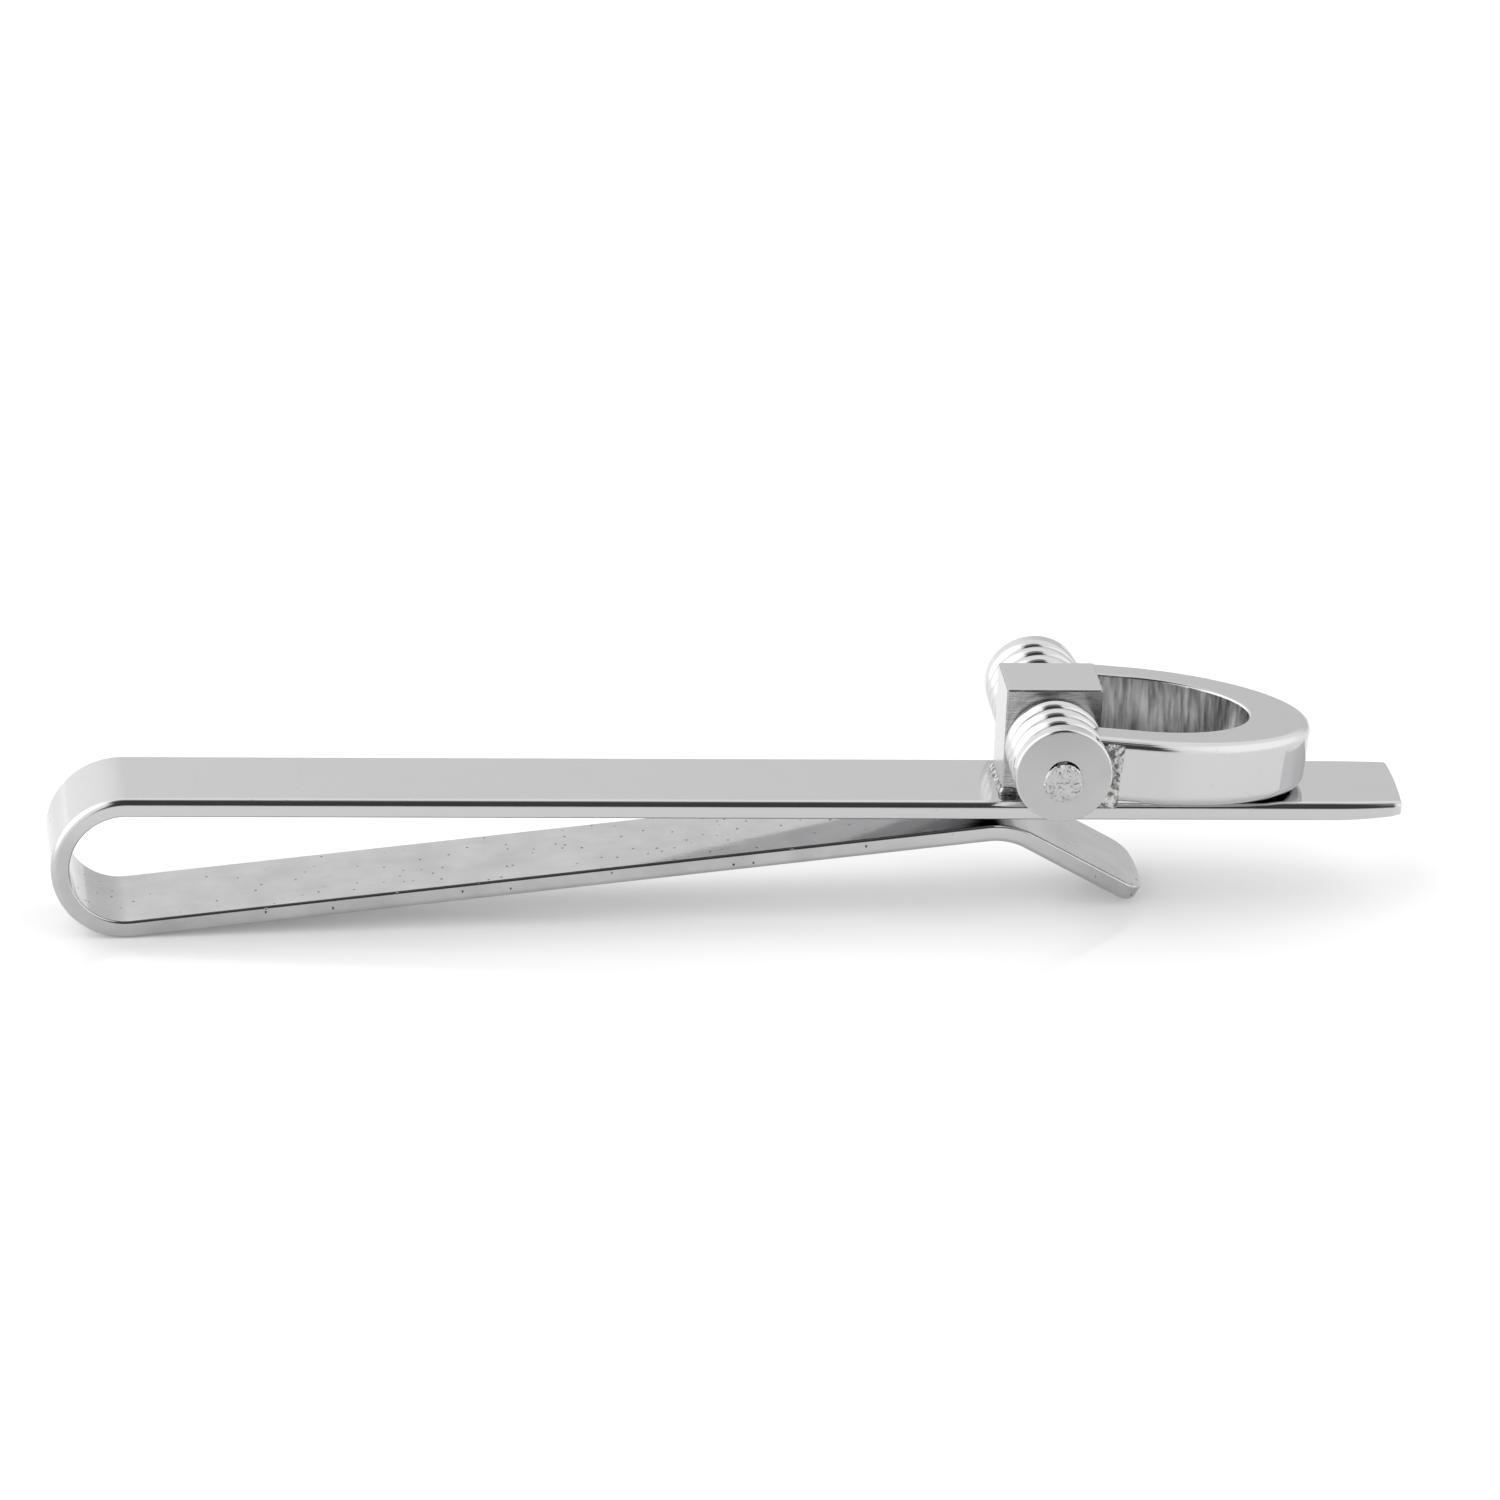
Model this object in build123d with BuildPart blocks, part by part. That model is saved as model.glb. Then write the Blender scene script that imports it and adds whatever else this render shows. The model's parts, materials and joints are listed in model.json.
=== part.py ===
from build123d import *
import os
from math import asin, atan2, cos, degrees, hypot, radians, sin, tan

# A sprung dress clip: one polished steel strip folded into a flat bar and a springy tongue, with a
# small D-shackle that swings on a block soldered to the bar.
#
# Frame: millimetres, +Z up. The clip lies at rest on the plane Z = 0, which it touches with the
# underside of its fold and with the lip of its tongue. +X runs from the fold to the shackle end,
# Y across the strip, and the origin is the middle of the bounding box's bottom.
#
# The bar's own axes are U, along the bar from the outside of the fold, and W, square to its top
# face. They lean by a few degrees from X and Z, because the clip rests on its tongue.

os.makedirs("parts", exist_ok=True)

# Folded strip
clip_length = 60.0
strip_width = 5.37
strip_thickness = 0.82
strip_edge_radius = 0.2
fold_radius = 3.3
fold_gap = 0.1
tip_corner_radius = 0.6
tip_crown = 0.1

# Tongue: rises from the fold to a crest under the bar, then kicks down to a lip
tongue_slope = 7.0
crest_u = 42.5
crest_radius = 3.5
kick_slope = 28.5
lip_u = 48.65
lip_corner_radius = 0.95
lip_crown = 0.37

# Hinge block, soldered across the bar
pin_u = 44.2
pin_w = 2.52
block_length = 4.28
block_depth = 3.38
block_height = 4.97
block_edge = 0.12
solder_reach = 0.32
solder_height = 0.26
solder_slope = 48

# Pin and ribbed collars
pin_radius = 0.76
collar_bore_radius = 0.75
block_bore_radius = 0.81
pin_recess = 0.3
pin_chamfer = 0.1
side_clearance = 0.05
collar_radius = 2.17
collar_groove_radius = 1.85
collar_length = 4.06
collar_head = 1.06
collar_rings = 3
head_rim = 0.13

# Shackle bow, measured from the pin's axis in the bow's own plane
bow_half_width = 4.8
bow_inner_half_width = 3.25
bow_height = 3.0
bow_reach = 11.68
bow_inner_reach = 8.87
bow_leg_length = 3.75
bow_drop = 4.8
bow_top_edge = 0.2
bow_bottom_edge = 0.55
bow_hole_edge = 0.12
bead_reach = 0.5
bead_margin = 0.14
bead_corner_radius = 0.42

# Where the tongue's lines run, in (U, W)
rise = radians(tongue_slope)
kick = radians(kick_slope)
fold_centre = (fold_radius, -fold_radius)
inner_fold_radius = fold_radius - strip_thickness
tongue_foot = (
    fold_radius + inner_fold_radius * sin(rise),
    -fold_radius - inner_fold_radius * cos(rise),
)
crest_w = tongue_foot[1] + (crest_u - tongue_foot[0]) * tan(rise)
lip_w = crest_w - (lip_u - crest_u) * tan(kick)

# How far the clip leans: one line touches the round of the fold and the rounded lower edge of the
# lip, and that line is the surface the clip lies on.
lip_depth = strip_thickness - strip_edge_radius
lip_round = (
    lip_u - strip_edge_radius * cos(kick) - lip_depth * sin(kick),
    lip_w + strip_edge_radius * sin(kick) - lip_depth * cos(kick),
)
span_u = lip_round[0] - fold_centre[0]
span_w = lip_round[1] - fold_centre[1]
lean = atan2(span_w, span_u) + asin((fold_radius - strip_edge_radius) / hypot(span_u, span_w))
left_end = fold_radius * (cos(lean) - sin(lean) - 1)
right_end = (
    (clip_length - strip_edge_radius) * cos(lean)
    - strip_edge_radius * sin(lean)
    + strip_edge_radius
)
bar_origin = (-(left_end + right_end) / 2, 0, fold_radius * (1 + sin(lean) + cos(lean)))

# Planes that the pieces are drawn on
side_plane = Plane(origin=bar_origin, x_dir=(cos(lean), 0, -sin(lean)), z_dir=(0, -1, 0))
along_bar = side_plane.x_dir
up_from_bar = side_plane.y_dir


def bar_point(u, w):
    """A point of the side view, given along and above the bar."""
    return side_plane.from_local_coords(Vector(u, w, 0))


def side_direction(angle):
    """A direction in the side view, as degrees below the bar's own direction."""
    return along_bar * cos(radians(angle)) - up_from_bar * sin(radians(angle))


pin_centre = bar_point(pin_u, pin_w)
bar_top = Plane(origin=bar_origin, x_dir=along_bar, z_dir=up_from_bar)
block_foot = Plane(origin=bar_point(pin_u, 0), x_dir=along_bar, z_dir=up_from_bar)
lip_plane = Plane(
    origin=bar_point(lip_u, lip_w),
    x_dir=side_direction(kick_slope),
    z_dir=-side_direction(kick_slope + 90),
)
bow_plane = Plane(
    origin=pin_centre,
    x_dir=side_direction(bow_drop),
    z_dir=-side_direction(bow_drop + 90),
)
pin_plane = Plane(origin=pin_centre, x_dir=bow_plane.x_dir, z_dir=(0, -1, 0))
bow_half_height = bow_height / 2
collar_start = block_depth / 2 + side_clearance


def rim_edges(piece):
    """The long edges of a piece of strip: all but those across it and through its thickness."""
    across = piece.edges().filter_by(Axis.Y)
    short_lines = piece.edges().filter_by(GeomType.LINE)
    short_lines = short_lines.filter_by(lambda edge: edge.length < 2 * strip_thickness)
    return piece.edges() - across - short_lines


# Front bar: the flat bar and the upper half of the fold. Its side view is drawn overlong and too
# wide, then cut to the bar's plan, whose end is slightly crowned with rounded corners.
overrun = 1.0
fold_angle = 90 - degrees(fold_gap / 2 / (fold_radius - strip_thickness / 2))
with BuildPart() as front_bar:
    with BuildSketch(side_plane):
        with BuildLine():
            outer = CenterArc(fold_centre, fold_radius, 90, fold_angle)
            inner = CenterArc(fold_centre, inner_fold_radius, 90, fold_angle)
            Line(outer @ 1, inner @ 1)
            Polyline(
                inner @ 0,
                (clip_length + overrun, -strip_thickness),
                (clip_length + overrun, 0),
                outer @ 0,
            )
        make_face()
    extrude(amount=strip_width, both=True)
    with BuildSketch(bar_top):
        with BuildLine():
            half = strip_width / 2
            shoulder = clip_length - tip_crown
            Polyline(
                (shoulder, -half),
                (-overrun, -half),
                (-overrun, half),
                (shoulder, half),
            )
            ThreePointArc((shoulder, half), (clip_length, 0), (shoulder, -half))
        plan = make_face()
        fillet(plan.vertices().sort_by(Axis.X)[-2:], tip_corner_radius)
    extrude(amount=clip_length, both=True, mode=Mode.INTERSECT)
    fillet(rim_edges(front_bar), strip_edge_radius)
front_bar.part.label = "front_bar"
export_step(front_bar.part, "parts/front_bar.step")

# Spring tongue: the lower half of the fold, the rising tongue, its crest and its kicked-down lip.
# It is one strip with the front bar. The narrow gap halfway round the fold stands for the place
# where the strip flexes. The lip's end is crowned like a fingernail.
bend = (rise + kick) / 2
bend_lean = (kick - rise) / 2
crest_top = (crest_u, crest_w)
crest_under = (
    crest_u - strip_thickness / cos(bend) * sin(bend_lean),
    crest_w - strip_thickness / cos(bend) * cos(bend_lean),
)
lip_top = (lip_u + cos(kick), lip_w - sin(kick))
lip_under = (
    lip_top[0] - strip_thickness * sin(kick),
    lip_top[1] - strip_thickness * cos(kick),
)
foot_angle = tongue_slope - 90
sweep_angle = -tongue_slope - fold_angle
with BuildPart() as spring_tongue:
    with BuildSketch(side_plane):
        with BuildLine():
            outer = CenterArc(fold_centre, fold_radius, foot_angle, sweep_angle)
            inner = CenterArc(fold_centre, inner_fold_radius, foot_angle, sweep_angle)
            Line(outer @ 1, inner @ 1)
            top = FilletPolyline(inner @ 0, crest_top, lip_top, radius=crest_radius)
            inside_radius = crest_radius - strip_thickness
            under = FilletPolyline(outer @ 0, crest_under, lip_under, radius=inside_radius)
            Line(top @ 1, under @ 1)
        make_face()
    extrude(amount=strip_width, both=True)
    with BuildSketch(lip_plane):
        with BuildLine():
            Polyline(
                (-lip_crown, -half),
                (-clip_length, -half),
                (-clip_length, half),
                (-lip_crown, half),
            )
            ThreePointArc((-lip_crown, half), (0, 0), (-lip_crown, -half))
        plan = make_face()
        fillet(plan.vertices().sort_by(Axis.X)[-2:], lip_corner_radius)
    extrude(amount=clip_length, both=True, mode=Mode.INTERSECT)
    fillet(rim_edges(spring_tongue), strip_edge_radius)
spring_tongue.part.label = "spring_tongue"
export_step(spring_tongue.part, "parts/spring_tongue.step")

# Hinge block: a square-cut lug that stands across the bar, bored for the pin.
with BuildPart() as hinge_block:
    with BuildSketch(block_foot):
        Rectangle(block_length, block_depth)
    extrude(amount=block_height)
    top_edges = hinge_block.faces().sort_by(Axis.Z)[-1].edges()
    fillet(top_edges, block_edge)
    with BuildSketch(pin_plane):
        Circle(block_bore_radius)
    extrude(amount=block_depth, both=True, mode=Mode.SUBTRACT)
hinge_block.part.label = "hinge_block"
export_step(hinge_block.part, "parts/hinge_block.step")

# Block solder: the thin bead that runs round the foot of the block.
with BuildPart() as block_solder:
    with BuildSketch(block_foot):
        Rectangle(block_length + 2 * solder_reach, block_depth + 2 * solder_reach)
    extrude(amount=solder_height, taper=solder_slope)
    with BuildSketch(block_foot):
        Rectangle(block_length, block_depth)
    extrude(amount=solder_height, mode=Mode.SUBTRACT)
block_solder.part.label = "block_solder"
export_step(block_solder.part, "parts/block_solder.step")

# Shackle pin: turns in the block and is pressed and peened into both collars.
pin_half_length = collar_start + collar_length - pin_recess
with BuildPart() as shackle_pin:
    with BuildSketch(pin_plane):
        Circle(pin_radius)
    extrude(amount=pin_half_length, both=True)
    chamfer(shackle_pin.edges().filter_by(GeomType.CIRCLE), pin_chamfer)
shackle_pin.part.label = "shackle_pin"
export_step(shackle_pin.part, "parts/shackle_pin.step")


def ribbed_collar(side):
    """A turned collar on the pin: round rings next to the block, then a wider flat-faced head.
    side is -1 for the collar towards -Y and +1 for the other."""
    profile_plane = Plane(
        origin=pin_centre,
        x_dir=(0, side, 0),
        z_dir=bow_plane.x_dir,
    )
    ring_pitch = (collar_length - collar_head) / collar_rings
    head_start = collar_start + collar_rings * ring_pitch
    end = collar_start + collar_length
    with BuildPart() as collar:
        with BuildSketch(profile_plane):
            with BuildLine():
                for ring in range(collar_rings):
                    foot = collar_start + ring * ring_pitch
                    ThreePointArc(
                        (foot, collar_groove_radius),
                        (foot + ring_pitch / 2, collar_radius),
                        (foot + ring_pitch, collar_groove_radius),
                    )
                shoulder = head_start + ring_pitch / 2
                TangentArc(
                    (shoulder, collar_radius),
                    (head_start, collar_groove_radius),
                    tangent=(-1, 0),
                )
                Line((shoulder, collar_radius), (end - head_rim, collar_radius))
                RadiusArc(
                    (end - head_rim, collar_radius),
                    (end, collar_radius - head_rim),
                    head_rim,
                )
                Polyline(
                    (end, collar_radius - head_rim),
                    (end, collar_bore_radius),
                    (collar_start, collar_bore_radius),
                    (collar_start, collar_groove_radius),
                )
            make_face()
        revolve(axis=Axis(pin_centre, (0, 1, 0)))
    return collar.part


def leg_bead(side):
    """The solder that joins one leg of the bow to its collar: a collar of metal round the leg."""
    bead_middle = side * (bow_half_width + bow_inner_half_width) / 2
    leg_width = bow_half_width - bow_inner_half_width
    leg_section = Plane(origin=pin_centre, x_dir=(0, 1, 0), z_dir=bow_plane.x_dir)
    with BuildPart() as bead:
        with BuildSketch(leg_section):
            with Locations((bead_middle, 0)):
                RectangleRounded(
                    leg_width + 2 * bead_margin,
                    bow_height + 2 * bead_margin,
                    bead_corner_radius,
                )
                Rectangle(leg_width, bow_height, mode=Mode.SUBTRACT)
        extrude(amount=collar_radius + bead_reach)
        with BuildSketch(pin_plane):
            Circle(collar_radius)
        extrude(amount=clip_length, both=True, mode=Mode.SUBTRACT)
    return bead.part


def bow_edges(top, outside):
    """The bow's long edges on its top or bottom face, along its outside or along its opening."""
    middle_width = (bow_half_width + bow_inner_half_width) / 2
    middle_reach = (bow_reach + bow_inner_reach) / 2
    found = []
    for edge in shackle_bow.edges() - shackle_bow.edges().filter_by(Axis.Y):
        place = bow_plane.to_local_coords(edge @ 0.5)
        level = place.Z if top else -place.Z
        is_outside = abs(place.Y) > middle_width or place.X > middle_reach
        if level > bow_half_height / 2 and is_outside == outside:
            found.append(edge)
    return found


# Shackle bow: a heavy U of rectangular section, softened along its edges and most of all below.
# The two legs stop against the collars.
with BuildPart() as shackle_bow:
    with BuildSketch(bow_plane):
        with BuildLine():
            outline = (
                (bow_half_width, bow_reach),
                (bow_inner_half_width, bow_inner_reach),
            )
            for half_width, reach in outline:
                crown = reach - bow_leg_length
                EllipticalCenterArc((bow_leg_length, 0), crown, half_width, -90, arc_size=180)
                Line((0, half_width), (bow_leg_length, half_width))
                Line((0, -half_width), (bow_leg_length, -half_width))
            Line((0, bow_inner_half_width), (0, bow_half_width))
            Line((0, -bow_inner_half_width), (0, -bow_half_width))
        make_face()
    extrude(amount=bow_half_height, both=True)
    with BuildSketch(pin_plane):
        Circle(collar_radius)
    extrude(amount=clip_length, both=True, mode=Mode.SUBTRACT)
    fillet(bow_edges(top=True, outside=True), bow_top_edge)
    fillet(bow_edges(top=False, outside=True), bow_bottom_edge)
    fillet(bow_edges(top=True, outside=False), bow_hole_edge)
shackle_bow.part.label = "shackle_bow"
export_step(shackle_bow.part, "parts/shackle_bow.step")

for side, hand in ((-1, "right"), (1, "left")):
    collar = ribbed_collar(side)
    collar.label = hand + "_collar"
    export_step(collar, "parts/" + collar.label + ".step")
    bead = leg_bead(side)
    bead.label = hand + "_leg_solder"
    export_step(bead, "parts/" + bead.label + ".step")
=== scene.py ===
import json
import math

import bmesh
import bpy
from mathutils import Matrix, Vector


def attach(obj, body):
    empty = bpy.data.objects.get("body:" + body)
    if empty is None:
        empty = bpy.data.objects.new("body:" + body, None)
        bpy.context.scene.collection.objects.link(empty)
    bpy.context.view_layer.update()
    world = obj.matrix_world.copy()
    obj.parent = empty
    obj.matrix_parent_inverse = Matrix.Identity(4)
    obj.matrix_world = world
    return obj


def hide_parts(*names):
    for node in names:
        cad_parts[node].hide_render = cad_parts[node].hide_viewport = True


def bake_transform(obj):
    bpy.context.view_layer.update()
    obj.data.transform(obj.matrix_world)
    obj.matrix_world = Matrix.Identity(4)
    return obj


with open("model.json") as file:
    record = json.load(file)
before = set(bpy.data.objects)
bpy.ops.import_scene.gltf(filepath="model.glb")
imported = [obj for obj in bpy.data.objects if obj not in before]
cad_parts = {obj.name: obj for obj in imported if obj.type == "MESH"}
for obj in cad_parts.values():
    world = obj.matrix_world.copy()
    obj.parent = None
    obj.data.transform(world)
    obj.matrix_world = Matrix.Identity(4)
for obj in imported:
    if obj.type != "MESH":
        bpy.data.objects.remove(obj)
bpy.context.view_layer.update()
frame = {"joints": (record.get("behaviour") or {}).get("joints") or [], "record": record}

# The folded strip: one length of flat stainless steel, bent over a former into a bar and a springy
# tongue, then tumbled and buffed to a mirror, which rounds its edges. It is three pieces here: the
# bar, the fold and the tongue.
mm = 0.001
strip_width = 5.37
strip_thickness = 0.82
strip_length = 60.0
fold_radius = 3.3
fold_steps = 56
stub = 0.7
tongue_slope = math.radians(7.0)
kick_slope = math.radians(28.5)
crest_u = 42.5
crest_radius = 3.5
crest_steps = 14
lip_u = 48.65
buffed_edge = 0.3
inner_edge_share = 0.4
square_corner = math.radians(50)
end_reach = 0.2
end_squeeze = 0.35
tip_taper = 3.0
tip_stations = 6
tip_narrow = 0.95
tip_thin = 0.74
half_width = strip_width / 2
across = Vector((0, 1, 0))
touch = 0.01
weld = 0.002

# The bar's own frame: X along the bar from the outside of the fold, Z up from its top face. Pieces
# are shaped in that frame in millimetres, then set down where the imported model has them.
joints = {joint["name"]: joint for joint in frame["joints"]}
mounts = {mount["name"]: mount for mount in frame["record"]["mounts"]}
bar_up = Vector(mounts["block_top"]["axis"])
flex = Vector(joints["tongue_flex"]["pos_m"])
bar_frame = (
    Matrix.Translation(flex)
    @ Matrix.Rotation(math.atan2(bar_up.x, bar_up.z), 4, "Y")
    @ Matrix.Scale(mm, 4)
    @ Matrix.Translation((-strip_thickness / 2, 0, fold_radius))
)


def pick(kind, test):
    """In edit mode, selects only the vertices, edges or faces that pass the test. The test is
    given the middle of each and the thing itself."""
    bpy.ops.mesh.select_mode(type=kind)
    bpy.ops.mesh.select_all(action="DESELECT")
    mesh = bmesh.from_edit_mesh(bpy.context.edit_object.data)
    for item in {"VERT": mesh.verts, "EDGE": mesh.edges, "FACE": mesh.faces}[kind]:
        corners = [item] if kind == "VERT" else item.verts
        middle = sum((corner.co for corner in corners), Vector()) / len(corners)
        if test(middle, item):
            item.select_set(True)
    mesh.select_flush_mode()
    bmesh.update_edit_mesh(bpy.context.edit_object.data)


def extrude(step):
    """Extrudes what is selected by a step."""
    bpy.ops.mesh.extrude_region_move(TRANSFORM_OT_translate={"value": step})


def only(piece):
    """Makes a piece the only one selected."""
    bpy.ops.object.select_all(action="DESELECT")
    piece.select_set(True)
    bpy.context.view_layer.objects.active = piece


def modify(piece, kind, **settings):
    """Adds a modifier to a piece and applies it."""
    only(piece)
    modifier = piece.modifiers.new(kind.lower(), kind)
    for name, value in settings.items():
        setattr(modifier, name, value)
    bpy.ops.object.modifier_apply(modifier=modifier.name)


def set_down(piece, name, frame_of_piece=Matrix.Identity(4), sharp=35):
    """Smooths a shaped piece, names it and puts it in its place in the row frame, in metres."""
    only(piece)
    piece.name = name
    piece.data.name = name
    bpy.ops.object.shade_smooth_by_angle(angle=math.radians(sharp))
    modify(piece, "WEIGHTED_NORMAL", keep_sharp=True, weight=80)
    piece.matrix_world = bar_frame @ frame_of_piece @ piece.matrix_world
    bpy.ops.object.transform_apply(location=True, rotation=True, scale=True)


def arc_end(end, direction, crown, corner_radius, steps=8):
    """Trims the strip's end to a shallow crown with rounded corners, cut by cut."""
    crown_radius = (half_width**2 + crown**2) / (2 * crown)
    crown_centre = end - direction * crown_radius
    corner_y = half_width - corner_radius
    turn = math.asin(corner_y / (crown_radius - corner_radius))
    corner_x = (crown_radius - corner_radius) * math.cos(turn)
    cuts = []
    for side in (-1, 1):
        corner_centre = crown_centre + direction * corner_x + across * side * corner_y
        for step in range(steps):
            angle = side * turn * (step + 0.5) / steps
            cuts.append((crown_centre, crown_radius, angle))
            angle = side * (turn + (math.pi / 2 - turn) * (step + 0.5) / steps)
            cuts.append((corner_centre, corner_radius, angle))
    for centre, radius, angle in cuts:
        outwards = direction * math.cos(angle) + across * math.sin(angle)
        pick("FACE", lambda middle, face: min((v.co - end).length for v in face.verts) < strip_width)
        bpy.ops.mesh.bisect(
            plane_co=centre + outwards * radius,
            plane_no=outwards,
            clear_outer=True,
        )


fold_centre = Vector((fold_radius, 0, -fold_radius))
along_tongue = Vector((math.cos(tongue_slope), 0, math.sin(tongue_slope)))
above_tongue = Vector((-math.sin(tongue_slope), 0, math.cos(tongue_slope)))
along_lip = Vector((math.cos(kick_slope), 0, -math.sin(kick_slope)))
above_lip = Vector((math.sin(kick_slope), 0, math.cos(kick_slope)))
tongue_foot = fold_centre - above_tongue * fold_radius
tongue_top = tongue_foot + above_tongue * strip_thickness
crest_w = tongue_top.z + (crest_u - tongue_top.x) * math.tan(tongue_slope)
crest_turn = tongue_slope + kick_slope
to_corner = (above_tongue + above_lip).normalized()
crest_centre = Vector((crest_u, 0, crest_w)) - to_corner * crest_radius / math.cos(crest_turn / 2)
crest_start = crest_centre + above_tongue * (crest_radius - strip_thickness)
lip_w = crest_w - (lip_u - crest_u) * math.tan(kick_slope)
lip_end = Vector((lip_u, 0, lip_w)) - above_lip * strip_thickness

bpy.ops.object.select_all(action="DESELECT")
bpy.ops.mesh.primitive_plane_add(size=1, enter_editmode=True)
strip = bpy.context.object
end_start = strip_length - end_reach
drawn_length = end_start + end_reach / end_squeeze
bar_length = drawn_length - fold_radius - stub
bpy.ops.transform.resize(value=(bar_length, strip_width, 1))
bpy.ops.transform.translate(value=(drawn_length - bar_length / 2, 0, 0))
arc_end(Vector((drawn_length, 0, 0)), Vector((1, 0, 0)), crown=0.25, corner_radius=0.55)
stations = [strip_length - tip_taper * (1 - step / tip_stations) for step in range(tip_stations)]
for station in stations:
    bpy.ops.mesh.select_all(action="SELECT")
    bpy.ops.mesh.bisect(plane_co=(station, 0, 0), plane_no=(1, 0, 0))
pick("EDGE", lambda middle, edge: middle.x < fold_radius + stub + touch)
extrude((-stub, 0, 0))
pick("EDGE", lambda middle, edge: middle.x < fold_radius + touch)
bpy.ops.mesh.spin(
    steps=fold_steps,
    angle=math.pi + tongue_slope,
    center=fold_centre,
    axis=across,
)
pick("EDGE", lambda middle, edge: (middle - tongue_foot).length < touch)
extrude(along_tongue * stub)
extrude(crest_start - tongue_foot - along_tongue * stub)
pick("EDGE", lambda middle, edge: (middle - crest_start).length < touch)
bpy.ops.mesh.spin(steps=crest_steps, angle=-crest_turn, center=crest_centre, axis=across)
crest_end = crest_centre + above_lip * (crest_radius - strip_thickness)
pick("EDGE", lambda middle, edge: (middle - crest_end).length < touch)
extrude(lip_end - crest_end)
arc_end(lip_end, along_lip, crown=0.37, corner_radius=0.95)
bpy.ops.mesh.select_all(action="SELECT")
bpy.ops.mesh.remove_doubles(threshold=weld)
bpy.ops.mesh.normals_make_consistent(inside=False)
bar_face = max(bmesh.from_edit_mesh(strip.data).faces, key=lambda face: face.calc_area())
if bar_face.normal.z < 0:
    bpy.ops.mesh.flip_normals()
bpy.ops.object.mode_set(mode="OBJECT")
outer_count = len(strip.data.vertices)
modify(strip, "SOLIDIFY", thickness=strip_thickness, offset=-1, use_even_offset=True)
bpy.ops.object.mode_set(mode="EDIT")
pick("EDGE", lambda middle, edge: edge.calc_face_angle() > square_corner)
bpy.ops.transform.edge_bevelweight(value=1)
pick(
    "EDGE",
    lambda middle, edge: edge.calc_face_angle() > square_corner
    and all(vert.index >= outer_count for vert in edge.verts),
)
bpy.ops.transform.edge_bevelweight(value=inner_edge_share - 1)
bpy.ops.object.mode_set(mode="OBJECT")
modify(
    strip,
    "BEVEL",
    width=buffed_edge,
    segments=6,
    limit_method="WEIGHT",
    use_clamp_overlap=False,
)

# The end of the bar is cut square, so its edge is tighter than the long edges. It was drawn long,
# and is now squeezed to its length.
bpy.ops.object.mode_set(mode="EDIT")
pick("VERT", lambda middle, vert: middle.x > end_start)
bpy.ops.transform.resize(value=(end_squeeze, 1, 1), center_override=(end_start, 0, 0))
bpy.ops.object.mode_set(mode="OBJECT")

# The tip of the bar narrows a little, and its underside eases up, more so towards its end. Each
# station moves all that is beyond it by its own share of the whole.
bpy.ops.object.mode_set(mode="EDIT")
all_shares = sum(range(1, tip_stations + 1))
for step, station in enumerate(stations, start=1):
    share = step / all_shares
    pick("VERT", lambda middle, vert: middle.x > station + touch)
    bpy.ops.transform.resize(
        value=(1, tip_narrow**share, tip_thin**share),
        center_override=(station, 0, 0),
    )

below_bar = (crest_centre.z + crest_radius - strip_thickness) / 2
stub_end = tongue_foot + along_tongue * stub
for belongs in (
    lambda middle, face: middle.x > fold_radius + stub and middle.z > below_bar,
    lambda middle, face: (middle - stub_end).dot(along_tongue) > 0 and middle.z < below_bar,
):
    pick("FACE", belongs)
    bpy.ops.mesh.separate(type="SELECTED")
bpy.ops.object.mode_set(mode="OBJECT")
strip_bar, strip_tongue = [o for o in bpy.context.selected_objects if o != strip]
if strip_bar.data.vertices[0].co.z < strip_tongue.data.vertices[0].co.z:
    strip_bar, strip_tongue = strip_tongue, strip_bar
for piece, name in ((strip, "strip_fold"), (strip_bar, "strip_bar"), (strip_tongue, "strip_tongue")):
    only(piece)
    bpy.ops.object.mode_set(mode="EDIT")
    pick("EDGE", lambda middle, edge: edge.is_boundary)
    bpy.ops.mesh.fill_holes(sides=0)
    bpy.ops.object.mode_set(mode="OBJECT")
    set_down(piece, name)
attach(strip_bar, "clip")
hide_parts("front_bar")
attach(strip_tongue, "tongue")
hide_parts("spring_tongue")
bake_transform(strip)
strip_pieces = (strip, strip_bar, strip_tongue)


def linear(code):
    """The linear colour of an sRGB hex value."""
    shares = [int(code[i : i + 2], 16) / 255 for i in (1, 3, 5)]
    return [s / 12.92 if s <= 0.04045 else ((s + 0.055) / 1.055) ** 2.4 for s in shares] + [1]


def start_material(name):
    """A new material's node tree and its Principled shader."""
    material = bpy.data.materials.new(name)
    material.use_nodes = True
    return material, material.node_tree, material.node_tree.nodes["Principled BSDF"]


def add(tree, kind, settings, inputs):
    """Adds a node. inputs gives each socket a value, or the output socket that feeds it."""
    node = tree.nodes.new(kind)
    for name, value in settings.items():
        setattr(node, name, value)
    for name, value in inputs.items():
        if isinstance(value, bpy.types.NodeSocket):
            tree.links.new(value, node.inputs[name])
        else:
            node.inputs[name].default_value = value
    return node
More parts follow.
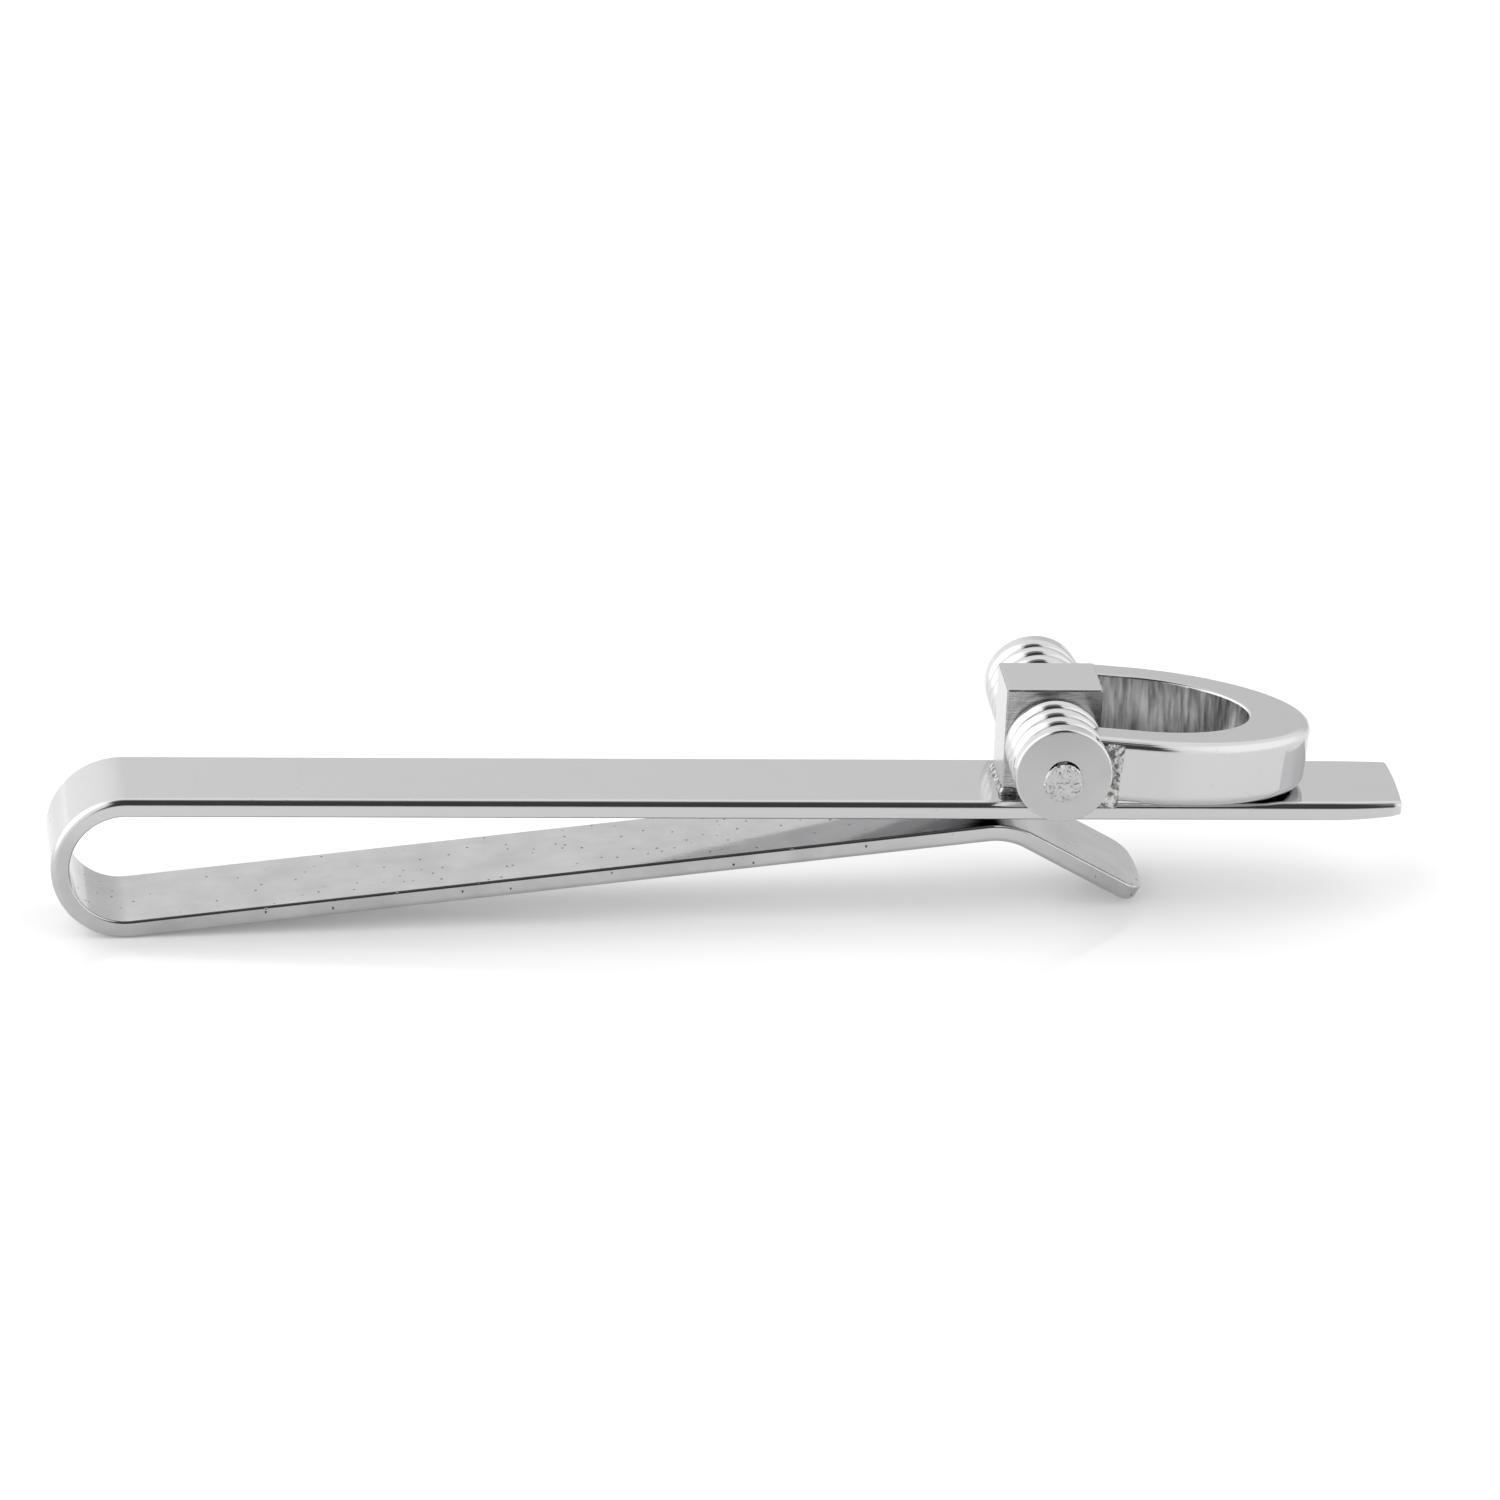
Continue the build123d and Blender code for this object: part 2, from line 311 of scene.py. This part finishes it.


# Buffed stainless steel: a grey mirror. Buffing leaves broad, very shallow waves that make
# reflections swim a little, and hair scratches along the strip. Below the bar's top, on the tongue
# and the lower half of the fold, painted shade darkens the grey in clouds, more the lower it lies,
# and small pits from the rolling are sunk and painted near black inside as painted shade.
steel_grey = "#C4C4C5"
shade_cloud_grey = "#A2A2A3"
pit_shade_grey = "#3A3A3C"
wave_size = 3.5
wave_height = 0.012
cloud_size = 1.8
scratch_pitch = 0.09
scratch_run = 6.0
scratch_depth = 0.0006
pit_pitch = 0.6
pit_radius = 0.08
pit_depth = 0.02
shade_starts_below = 0.9
shade_full_below = 2.4
mirror_steel, tree, shader = start_material("buffed_stainless_steel")
place = add(tree, "ShaderNodeTexCoord", {}, {})
waves = add(
    tree,
    "ShaderNodeTexNoise",
    {},
    {"Vector": place.outputs["Object"], "Scale": 1 / (wave_size * mm), "Detail": 1.0},
)
stretch = add(
    tree,
    "ShaderNodeMapping",
    {},
    {
        "Vector": place.outputs["Object"],
        "Rotation": (0, math.radians(4), math.radians(3)),
        "Scale": (scratch_pitch / scratch_run, 1, 1),
    },
)
scratches = add(
    tree,
    "ShaderNodeTexNoise",
    {},
    {"Vector": stretch.outputs["Vector"], "Scale": 1 / (scratch_pitch * mm), "Detail": 2.0},
)
haze = add(
    tree,
    "ShaderNodeMapRange",
    {},
    {
        "Value": scratches.outputs["Fac"],
        "From Min": 0.3,
        "From Max": 0.7,
        "To Min": 0.06,
        "To Max": 0.12,
    },
)
tree.links.new(haze.outputs["Result"], shader.inputs["Roughness"])
bar_level = (bar_frame @ Vector()).dot(bar_up)
above = add(
    tree,
    "ShaderNodeVectorMath",
    {"operation": "DOT_PRODUCT"},
    {0: place.outputs["Object"], 1: bar_up},
)
# Painted shade under the bar: the grey is darkened in clouds below the bar's top, more the lower the
# surface lies, down the fold and over the tongue.
under_bar_shade = add(
    tree,
    "ShaderNodeMapRange",
    {"interpolation_type": "SMOOTHSTEP"},
    {
        "Value": above.outputs["Value"],
        "From Min": bar_level - shade_full_below * mm,
        "From Max": bar_level - shade_starts_below * mm,
        "To Min": 1.0,
        "To Max": 0.1,
    },
)
clouds = add(
    tree,
    "ShaderNodeTexNoise",
    {},
    {"Vector": place.outputs["Object"], "Scale": 1 / (cloud_size * mm), "Detail": 4.0},
)
shade_clouds = add(
    tree,
    "ShaderNodeMath",
    {"operation": "MULTIPLY"},
    {0: clouds.outputs["Fac"], 1: under_bar_shade.outputs["Result"]},
)
cloud_shaded = add(
    tree,
    "ShaderNodeMix",
    {"data_type": "RGBA"},
    {"Factor": shade_clouds.outputs["Value"], 6: linear(steel_grey), 7: linear(shade_cloud_grey)},
)
cells = add(
    tree,
    "ShaderNodeTexVoronoi",
    {"feature": "F1"},
    {"Vector": place.outputs["Object"], "Scale": 1 / (pit_pitch * mm)},
)
# Painted shade in the pits: each pit is sunk by bump and painted near black, where the strip lies
# below the bar.
pit_dents_and_shade = add(
    tree,
    "ShaderNodeMapRange",
    {"interpolation_type": "SMOOTHSTEP"},
    {
        "Value": cells.outputs["Distance"],
        "From Min": 0.3 * pit_radius / pit_pitch,
        "From Max": pit_radius / pit_pitch,
        "To Min": under_bar_shade.outputs["Result"],
        "To Max": 0.0,
    },
)
tint = add(
    tree,
    "ShaderNodeMix",
    {"data_type": "RGBA"},
    {"Factor": pit_dents_and_shade.outputs["Result"], 6: cloud_shaded.outputs[2], 7: linear(pit_shade_grey)},
)
tree.links.new(tint.outputs[2], shader.inputs["Base Color"])
surface = {}
for height, depth, sunk in (
    (waves.outputs["Fac"], wave_height, False),
    (scratches.outputs["Fac"], scratch_depth, False),
    (pit_dents_and_shade.outputs["Result"], pit_depth, True),
):
    heights = {"Distance": depth * mm, "Height": height}
    bump = add(tree, "ShaderNodeBump", {"invert": sunk}, heights | surface)
    surface = {"Normal": bump.outputs["Normal"]}
tree.links.new(bump.outputs["Normal"], shader.inputs["Normal"])
shader.inputs["Metallic"].default_value = 1.0
for piece in strip_pieces:
    piece.data.materials.append(mirror_steel)

# The hinge block: a square lug sawn from bar stock, filed on three sides, wiped over a belt on top
# and on the side towards the fold, and bored across for the pin.
block_length = 4.28
block_depth = 3.38
block_height = 4.97
block_edge = 0.1
block_bore = 0.81
pin_u = 44.2
pin_w = 2.52
square_on = 0.9
bpy.ops.object.select_all(action="DESELECT")
bpy.ops.mesh.primitive_cube_add(size=1, enter_editmode=True)
block = bpy.context.object
bpy.ops.transform.resize(value=(block_length, block_depth, block_height))
bpy.ops.transform.translate(value=(pin_u, 0, block_height / 2))
pick("EDGE", lambda middle, edge: middle.z > block_edge)
bpy.ops.mesh.bevel(offset=block_edge, segments=4, affect="EDGES")
bpy.ops.object.mode_set(mode="OBJECT")
bpy.ops.mesh.primitive_cylinder_add(
    vertices=64,
    radius=block_bore,
    depth=2 * block_depth,
    location=(pin_u, 0, pin_w),
    rotation=(math.pi / 2, 0, 0),
)
drill = bpy.context.object
modify(block, "BOOLEAN", object=drill, operation="DIFFERENCE", solver="EXACT")
bpy.data.objects.remove(drill)
set_down(block, "block")
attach(block, "clip")
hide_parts("hinge_block")



# Filed stainless steel: deep crossing file marks and a dull, blotchy bloom, which make the sides
# of the block look dark beside the buffed pieces.
file_pitch = 0.045
file_run = 0.9
file_depth = 0.003
bloom_size = 0.6
filed_steel, tree, shader = start_material("filed_stainless_steel")
place = add(tree, "ShaderNodeTexCoord", {}, {})
stretch = add(
    tree,
    "ShaderNodeMapping",
    {},
    {
        "Vector": place.outputs["Object"],
        "Rotation": (math.radians(24), math.radians(35), 0),
        "Scale": (file_pitch / file_run, 1, 1),
    },
)
marks = add(
    tree,
    "ShaderNodeTexNoise",
    {},
    {"Vector": stretch.outputs["Vector"], "Scale": 1 / (file_pitch * mm), "Detail": 3.0},
)
bloom = add(
    tree,
    "ShaderNodeTexNoise",
    {},
    {"Vector": place.outputs["Object"], "Scale": 1 / (bloom_size * mm), "Detail": 3.0},
)
shade = add(
    tree,
    "ShaderNodeMapRange",
    {},
    {"Value": marks.outputs["Fac"], "From Min": 0.35, "From Max": 0.65},
)
tint = add(
    tree,
    "ShaderNodeMix",
    {"data_type": "RGBA"},
    {"Factor": shade.outputs["Result"], 6: linear("#8A8A8B"), 7: linear("#B0B0B0")},
)
tree.links.new(tint.outputs[2], shader.inputs["Base Color"])
haze = add(
    tree,
    "ShaderNodeMapRange",
    {},
    {
        "Value": bloom.outputs["Fac"],
        "From Min": 0.3,
        "From Max": 0.7,
        "To Min": 0.18,
        "To Max": 0.34,
    },
)
tree.links.new(haze.outputs["Result"], shader.inputs["Roughness"])
bump = add(
    tree,
    "ShaderNodeBump",
    {},
    {"Distance": file_depth * mm, "Height": marks.outputs["Fac"]},
)
tree.links.new(bump.outputs["Normal"], shader.inputs["Normal"])
shader.inputs["Metallic"].default_value = 1.0


def grained_metal(name, pitch, detail, greys, haze, relief, twist=0.0, **lay):
    """A bare metal with one grain all over it, pitch apart and relief deep in millimetres. Its
    greys and its haze, which is its roughness, are one value each, or the values at two heights of
    the grain and then those heights. lay turns and stretches a grain that runs one way."""
    material, tree, shader = start_material(name)
    place = add(tree, "ShaderNodeTexCoord", {}, {})
    laid = add(tree, "ShaderNodeMapping", {}, {"Vector": place.outputs["Object"]} | lay)
    grain = add(
        tree,
        "ShaderNodeTexNoise",
        {},
        {
            "Vector": laid.outputs["Vector"],
            "Scale": 1 / (pitch * mm),
            "Detail": detail,
            "Distortion": twist,
        },
    )
    if isinstance(greys, str):
        shader.inputs["Base Color"].default_value = linear(greys)
    else:
        dark, light, low, high = greys
        shade = add(
            tree,
            "ShaderNodeMapRange",
            {},
            {"Value": grain.outputs["Fac"], "From Min": low, "From Max": high},
        )
        tint = add(
            tree,
            "ShaderNodeMix",
            {"data_type": "RGBA"},
            {"Factor": shade.outputs["Result"], 6: linear(dark), 7: linear(light)},
        )
        tree.links.new(tint.outputs[2], shader.inputs["Base Color"])
    if isinstance(haze, float):
        shader.inputs["Roughness"].default_value = haze
    else:
        first, last, low, high = haze
        hazy = add(
            tree,
            "ShaderNodeMapRange",
            {},
            {
                "Value": grain.outputs["Fac"],
                "From Min": low,
                "From Max": high,
                "To Min": first,
                "To Max": last,
            },
        )
        tree.links.new(hazy.outputs["Result"], shader.inputs["Roughness"])
    if relief:
        bump = add(
            tree,
            "ShaderNodeBump",
            {},
            {"Distance": relief * mm, "Height": grain.outputs["Fac"]},
        )
        tree.links.new(bump.outputs["Normal"], shader.inputs["Normal"])
    shader.inputs["Metallic"].default_value = 1.0
    return material


# Belt-ground stainless steel: lines too fine to see one by one, which leave a soft, even satin.
# They are drawn at 0.06 mm, about three times as coarse as a fine belt leaves them.
line_pitch = 0.06
line_run = 3.0
satin_steel = grained_metal(
    "belt_ground_stainless_steel",
    pitch=line_pitch,
    detail=2.0,
    greys="#BFBFC0",
    haze=(0.17, 0.24, 0.3, 0.7),
    relief=0.0007,
    Rotation=(0, 0, math.radians(-8)),
    Scale=(line_pitch / line_run, 1, 1),
)
for finish in (filed_steel, satin_steel):
    block.data.materials.append(finish)
only(block)
bpy.ops.object.mode_set(mode="EDIT")
pick("FACE", lambda middle, face: face.normal.z > square_on or face.normal.x < -square_on)
block.active_material_index = 1
bpy.ops.object.material_slot_assign()
bpy.ops.object.mode_set(mode="OBJECT")

# The block's solder: a thin run of silver solder round the foot of the block, where it was sweated
# to the bar. It is lumpy, and thickest at the corner nearest the fold and the viewer.
solder_reach = 0.16
solder_height = 0.2
solder_lumps = 0.025
heap_reach = 0.7
heap_lumps = 0.09
heap_shift = (0, -0.1, 0.12)
seat = 0.02
bpy.ops.object.select_all(action="DESELECT")
bpy.ops.mesh.primitive_cube_add(size=1, enter_editmode=True)
foot_solder = bpy.context.object
foot_size = (block_length + 2 * solder_reach, block_depth + 2 * solder_reach, solder_height)
bpy.ops.transform.resize(value=foot_size)
bpy.ops.transform.translate(value=(pin_u, 0, solder_height / 2))
pick("FACE", lambda middle, face: face.normal.z > square_on)
bpy.ops.transform.resize(
    value=(block_length / foot_size[0], block_depth / foot_size[1], 1),
    center_override=(pin_u, 0, solder_height),
)
bpy.ops.mesh.select_all(action="SELECT")
bpy.ops.mesh.subdivide(number_cuts=15)
pick("VERT", lambda middle, vert: middle.z > seat)
bpy.ops.transform.vertex_random(offset=solder_lumps, seed=4, wait_for_input=False)
heap = Vector((pin_u - block_length / 2, -block_depth / 2, solder_height / 2))
pick("VERT", lambda middle, vert: middle.z > seat and (middle - heap).length < heap_reach)
bpy.ops.transform.vertex_random(offset=heap_lumps, seed=9, wait_for_input=False)
bpy.ops.transform.translate(value=heap_shift)
bpy.ops.object.mode_set(mode="OBJECT")
modify(foot_solder, "SUBSURF", levels=1, render_levels=1)
set_down(foot_solder, "foot_solder", sharp=80)
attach(foot_solder, "clip")
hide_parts("block_solder")

# Silver solder as it froze: lighter and glossier where its grain stands high, darker and duller
# where the grain lies low.
solder = grained_metal(
    "frozen_silver_solder",
    pitch=0.28,
    detail=4.0,
    greys=("#6E6D6C", "#C4C3C1", 0.42, 0.58),
    haze=(0.5, 0.18, 0.4, 0.6),
    relief=0.06,
)
foot_solder.data.materials.append(solder)

# The pin: a plain rod pressed through both collars. Its ends are set over with a punch, which
# leaves a folded button of metal that spills out of each collar's bore, mostly downwards. Each
# fold is given by its radius, its share of the drop and how far it stands out.
pin_radius = 0.76
collar_start = 1.74
collar_length = 4.06
pin_recess = 0.3
pin_half = collar_start + collar_length - pin_recess
button_drop = 0.3
button_lumps = 0.02
button_folds = (
    (0.6, 0.0, 0.24),
    (0.9, 1.0, 0.32),
    (0.88, 1.0, 0.38),
    (0.78, 1.0, 0.43),
    (0.62, 0.7, 0.41),
    (0.5, 0.9, 0.45),
    (0.36, 0.7, 0.42),
    (0.18, 0.8, 0.44),
)
bpy.ops.object.select_all(action="DESELECT")
bpy.ops.mesh.primitive_cylinder_add(
    vertices=48,
    radius=pin_radius,
    depth=2 * pin_half,
    location=(pin_u, 0, pin_w),
    rotation=(math.pi / 2, 0, 0),
)
pin = bpy.context.object
bpy.ops.object.transform_apply(location=True, rotation=True, scale=True)
bpy.ops.object.mode_set(mode="EDIT")
for side in (-1, 1):
    pick("FACE", lambda middle, face: middle.y * side > pin_half - touch)
    last = (pin_radius, 0, 0)
    for radius, drop, rise in button_folds:
        bpy.ops.mesh.extrude_region()
        centre = (pin_u, 0, pin_w - last[1] * button_drop)
        growth = radius / last[0]
        bpy.ops.transform.resize(value=(growth, 1, growth), center_override=centre)
        sink = (last[1] - drop) * button_drop
        bpy.ops.transform.translate(value=(0, side * (rise - last[2]), sink))
        last = (radius, drop, rise)
    bpy.ops.mesh.poke()
    pick("VERT", lambda middle, vert: middle.y * side > pin_half + pin_recess)
    bpy.ops.transform.vertex_random(offset=button_lumps, seed=3 + side, wait_for_input=False)
bpy.ops.object.mode_set(mode="OBJECT")
set_down(pin, "pin", sharp=50)
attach(pin, "shackle")
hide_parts("shackle_pin")

# Peened stainless steel: one grey and one roughness all over, with the punch's folds given only by
# bump.
peened_steel = grained_metal(
    "peened_stainless_steel",
    pitch=0.55,
    detail=2.0,
    greys="#B8B8B8",
    haze=0.22,
    relief=0.18,
    twist=1.6,
)
pin.data.materials.append(peened_steel)

# The collars: turned on a lathe from the same bar, three rounded rings and an almost flat head,
# buffed all over except for the faint turning marks on the end face.
collar_bore = 0.75
collar_groove = 1.85
collar_radius = 2.17
collar_head = 1.06
collar_rings = 3
head_rim = 0.13
ring_steps = 9
shoulder_length = 0.5
rim_steps = 4
face_steps = 6
face_dome = 0.02
ring_pitch = (collar_length - collar_head) / collar_rings
ring_height = collar_radius - collar_groove
ring_radius = ((ring_pitch / 2) ** 2 + ring_height**2) / (2 * ring_height)
profile = [(0, collar_groove)]
for ring in range(collar_rings):
    for step in range(1, ring_steps + 1):
        along = ring_pitch * step / ring_steps
        rise = math.sqrt(ring_radius**2 - (along - ring_pitch / 2) ** 2) - ring_radius
        profile.append((ring * ring_pitch + along, collar_radius + rise))
head_start = collar_rings * ring_pitch
for step in range(1, ring_steps):
    angle = math.pi / 2 * step / (ring_steps - 1)
    along = head_start + shoulder_length * (1 - math.cos(angle))
    profile.append((along, collar_groove + ring_height * math.sin(angle)))
face_radius = collar_radius - head_rim
for step in range(rim_steps + 1):
    angle = math.pi / 2 * step / rim_steps
    along = collar_length - head_rim + head_rim * math.sin(angle)
    profile.append((along, face_radius + head_rim * math.cos(angle)))
for step in range(1, face_steps + 1):
    radius = face_radius + (collar_bore - face_radius) * step / face_steps
    profile.append((collar_length + face_dome * (face_radius**2 - radius**2), radius))
profile.append((0, collar_bore))

# Turned and buffed stainless steel: nearly a mirror, with the lathe's grain faintly left in it.
turned_steel = grained_metal(
    "turned_stainless_steel",
    pitch=0.12,
    detail=3.0,
    greys=steel_grey,
    haze=(0.05, 0.1, 0.3, 0.7),
    relief=0.0015,
)

# Faced stainless steel: the end of each collar, with the lathe tool's fine spiral blurred by one
# pass over the buff. It is duller than the rings and takes in light from all round.
faced_steel = grained_metal(
    "faced_stainless_steel",
    pitch=0.9,
    detail=4.0,
    greys="#B8B8B9",
    haze=(0.28, 0.4, 0.3, 0.7),
    relief=0,
)

for side, hand in ((-1, "right"), (1, "left")):
    bpy.ops.object.select_all(action="DESELECT")
    bpy.ops.mesh.primitive_circle_add(
        vertices=96,
        radius=collar_bore,
        location=(pin_u, side * collar_start, pin_w),
        rotation=(math.pi / 2, 0, 0),
    )
    collar = bpy.context.object
    bpy.ops.object.transform_apply(location=True, rotation=True, scale=True)
    bpy.ops.object.mode_set(mode="EDIT")
    bpy.ops.mesh.select_mode(type="EDGE")
    bpy.ops.mesh.select_all(action="SELECT")
    last = (0, collar_bore)
    for along, radius in profile:
        extrude((0, side * (along - last[0]), 0))
        growth = radius / last[1]
        centre = (pin_u, side * (collar_start + along), pin_w)
        bpy.ops.transform.resize(value=(growth, 1, growth), center_override=centre)
        last = (along, radius)
    bpy.ops.mesh.select_all(action="SELECT")
    bpy.ops.mesh.remove_doubles(threshold=weld)
    bpy.ops.mesh.normals_make_consistent(inside=False)
    bpy.ops.object.mode_set(mode="OBJECT")
    set_down(collar, hand + "_turned_collar", sharp=50)
    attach(collar, "shackle")
    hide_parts(hand + "_collar")
    collar.data.materials.append(turned_steel)
    collar.data.materials.append(faced_steel)
    only(collar)
    bpy.ops.object.mode_set(mode="EDIT")
    pick("FACE", lambda middle, face: face.normal.y * side > square_on)
    collar.active_material_index = 1
    bpy.ops.object.material_slot_assign()
    bpy.ops.object.mode_set(mode="OBJECT")

# The shackle bow: a heavy U cut from thick plate. Its top is belt-ground, its outer wall is buffed
# bright and well rounded below, and the wall of its opening is left as the cutter tore it.
bow_half_width = 4.8
bow_inner_half_width = 3.25
bow_height = 3.0
bow_reach = 11.68
bow_inner_reach = 8.87
bow_leg = 3.75
leg_start = 1.1
bow_drop = math.radians(4.8)
hair = 0.001
flat_face = 0.98
upright_face = 0.2
bow_frame = Matrix.Translation((pin_u, 0, pin_w)) @ Matrix.Rotation(bow_drop, 4, "Y")
bpy.ops.object.select_all(action="DESELECT")
bpy.ops.mesh.primitive_circle_add(vertices=160, radius=1, enter_editmode=True)
bow = bpy.context.object
pick("VERT", lambda middle, vert: middle.x < -hair)
bpy.ops.mesh.delete(type="VERT")
bpy.ops.mesh.select_all(action="SELECT")
bpy.ops.transform.resize(
    value=(bow_reach - bow_leg, bow_half_width, 1),
    center_override=(0, 0, 0),
)
bpy.ops.mesh.duplicate()
inner_share = (bow_inner_reach - bow_leg) / (bow_reach - bow_leg)
bpy.ops.transform.resize(
    value=(inner_share, bow_inner_half_width / bow_half_width, 1),
    center_override=(0, 0, 0),
)
bpy.ops.mesh.select_all(action="SELECT")
bpy.ops.transform.translate(value=(bow_leg, 0, -bow_height / 2))
pick("VERT", lambda middle, vert: middle.x < bow_leg + hair)
extrude((leg_start - bow_leg, 0, 0))
bpy.ops.mesh.select_mode(type="EDGE")
bpy.ops.mesh.select_all(action="SELECT")
bpy.ops.mesh.bridge_edge_loops()
bpy.ops.mesh.select_all(action="SELECT")
extrude((0, 0, bow_height))
bpy.ops.mesh.select_all(action="SELECT")
bpy.ops.mesh.normals_make_consistent(inside=False)
middle_width = (bow_half_width + bow_inner_half_width) / 2


def is_outside(middle):
    """Whether a point is on the bow's outer wall rather than the wall of its opening."""
    beyond = (middle.x - bow_leg) / ((bow_reach + bow_inner_reach) / 2 - bow_leg)
    return math.hypot(max(beyond, 0), middle.y / middle_width) > 1


# Each edge of the bow is rounded in turn: below or above, outside or inside, its radius in
# millimetres and its number of steps.
for above_or_below, outside, radius, segments in (
    (-1, True, 0.55, 10),
    (1, True, 0.42, 8),
    (-1, False, 0.12, 3),
    (1, False, 0.12, 4),
):
    pick(
        "EDGE",
        lambda middle, edge: middle.z * above_or_below > bow_height / 2 - hair
        and is_outside(middle) == outside
        and all(is_outside(vert.co) == outside for vert in edge.verts)
        and edge.is_manifold
        and edge.calc_face_angle() > square_corner
        and max(vert.co.x for vert in edge.verts) > leg_start + touch,
    )
    bpy.ops.mesh.bevel(offset=radius, segments=segments, affect="EDGES")
bpy.ops.object.mode_set(mode="OBJECT")

# Milled stainless steel, left rough: the wall of the opening shows upright chatter marks.
torn_steel = grained_metal(
    "milled_stainless_steel",
    pitch=0.22,
    detail=5.0,
    greys=("#909091", "#E0E0E0", 0.35, 0.65),
    haze=0.3,
    relief=0.03,
    Scale=(1, 1, 0.12),
)

for finish in (mirror_steel, satin_steel, torn_steel):
    bow.data.materials.append(finish)
bpy.ops.object.mode_set(mode="EDIT")
pick("FACE", lambda middle, face: abs(face.normal.z) > flat_face)
bow.active_material_index = 1
bpy.ops.object.material_slot_assign()
pick("FACE", lambda middle, face: abs(face.normal.z) < upright_face and not is_outside(middle))
bow.active_material_index = 2
bpy.ops.object.material_slot_assign()
bpy.ops.object.mode_set(mode="OBJECT")
set_down(bow, "bow", bow_frame)
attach(bow, "shackle")
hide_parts("shackle_bow")

# The leg solder: silver solder run in between each leg of the bow and its collar's head.
bead_length = 0.9
bead_margin = 0.1
bead_sink = 0.22
bead_overlap = 0.35
bead_edge = 0.12
bead_lumps = 0.08
leg_width = bow_half_width - bow_inner_half_width
for side, hand in ((-1, "right"), (1, "left")):
    bpy.ops.object.select_all(action="DESELECT")
    bpy.ops.mesh.primitive_cube_add(size=1, enter_editmode=True)
    bead = bpy.context.object
    bead_size = (bead_length, leg_width + 2 * bead_margin, bow_height)
    bpy.ops.transform.resize(value=bead_size)
    bead_x = collar_radius + bead_length / 2 - bead_overlap
    bead_y = side * middle_width
    bpy.ops.transform.translate(value=(bead_x, bead_y, -bead_sink))
    bpy.ops.mesh.bevel(offset=bead_edge, segments=1, affect="EDGES")
    bpy.ops.mesh.select_all(action="SELECT")
    bpy.ops.mesh.subdivide(number_cuts=7)
    bpy.ops.transform.vertex_random(offset=bead_lumps, seed=20 + side, wait_for_input=False)
    bpy.ops.object.mode_set(mode="OBJECT")
    modify(bead, "SUBSURF", levels=1, render_levels=1)
    set_down(bead, hand + "_leg_bead", bow_frame, sharp=80)
    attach(bead, "shackle")
    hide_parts(hand + "_leg_solder")
    bead.data.materials.append(solder)

# The table: a sheet of white gloss acrylic, far wider than the view, lit a little from below. Its
# gloss is weak, so what stands on it throws a soft, short shadow and hardly any reflection.
table_size = 6
bpy.ops.object.select_all(action="DESELECT")
bpy.ops.mesh.primitive_plane_add(size=table_size)
table = bpy.context.object
table.name = "table"
acrylic, tree, shader = start_material("white_gloss_acrylic")
shader.inputs["Base Color"].default_value = linear("#E8E8E8")
shader.inputs["Roughness"].default_value = 0.1
shader.inputs["IOR"].default_value = 1.49
shader.inputs["Specular IOR Level"].default_value = 0.12
shader.inputs["Emission Color"].default_value = linear("#FFFFFF")
shader.inputs["Emission Strength"].default_value = 0.15
table.data.materials.append(acrylic)

# The light: a white tent, brightest to the left, with a dark slit that runs up the front, where the
# camera looks in, to the top, and a dim corner low behind. Each patch gives its way from the object,
# its whole reach and its full-strength reach in degrees, and what it adds to the light.
world = bpy.data.worlds.new("light_tent")
bpy.context.scene.world = world
world.use_nodes = True
tree = world.node_tree
direction = add(tree, "ShaderNodeTexCoord", {}, {})
tent_level = 1.25
dimmest = 0.06
patches = (
    ((0.1, -1.0, 0.2), 20, 13, -1.17),
    ((0.1, -1.0, 0.7), 20, 13, -1.17),
    ((0.05, -0.55, 1.0), 20, 13, -1.17),
    ((0.0, -0.1, 1.0), 20, 13, -0.95),
    ((0.4, 1.0, 0.0), 40, 12, -0.42),
    ((-1.0, 0.1, 0.5), 60, 25, 0.9),
    ((1.0, -0.3, 0.4), 45, 25, 0.3),
)
total = None
for towards, outer, inner, change in patches:
    facing = add(
        tree,
        "ShaderNodeVectorMath",
        {"operation": "DOT_PRODUCT"},
        {0: direction.outputs["Generated"], 1: Vector(towards).normalized()},
    )
    share = add(
        tree,
        "ShaderNodeMapRange",
        {"interpolation_type": "SMOOTHSTEP"},
        {
            "Value": facing.outputs["Value"],
            "From Min": math.cos(math.radians(outer)),
            "From Max": math.cos(math.radians(inner)),
            "To Min": 0.0,
            "To Max": change,
        },
    )
    before = tent_level if total is None else total.outputs["Value"]
    total = add(
        tree,
        "ShaderNodeMath",
        {"operation": "ADD"},
        {0: before, 1: share.outputs["Result"]},
    )
floored = add(
    tree,
    "ShaderNodeMath",
    {"operation": "MAXIMUM"},
    {0: total.outputs["Value"], 1: dimmest},
)
tree.links.new(floored.outputs["Value"], tree.nodes["Background"].inputs["Strength"])
tree.nodes["Background"].inputs["Color"].default_value = linear("#FFFFFF")
bpy.context.scene.view_settings.view_transform = "Standard"

# The camera: a long lens, low in front and a little to the left.
camera_place = (-0.04642, -0.46133, 0.19275)
camera_turn = (math.radians(68.172), math.radians(-0.420), math.radians(-5.709))
lens_length = 270.8
film_width = 36
bpy.ops.object.camera_add(location=camera_place, rotation=camera_turn)
camera = bpy.context.object
camera.data.lens = lens_length
camera.data.sensor_width = film_width
bpy.context.scene.camera = camera
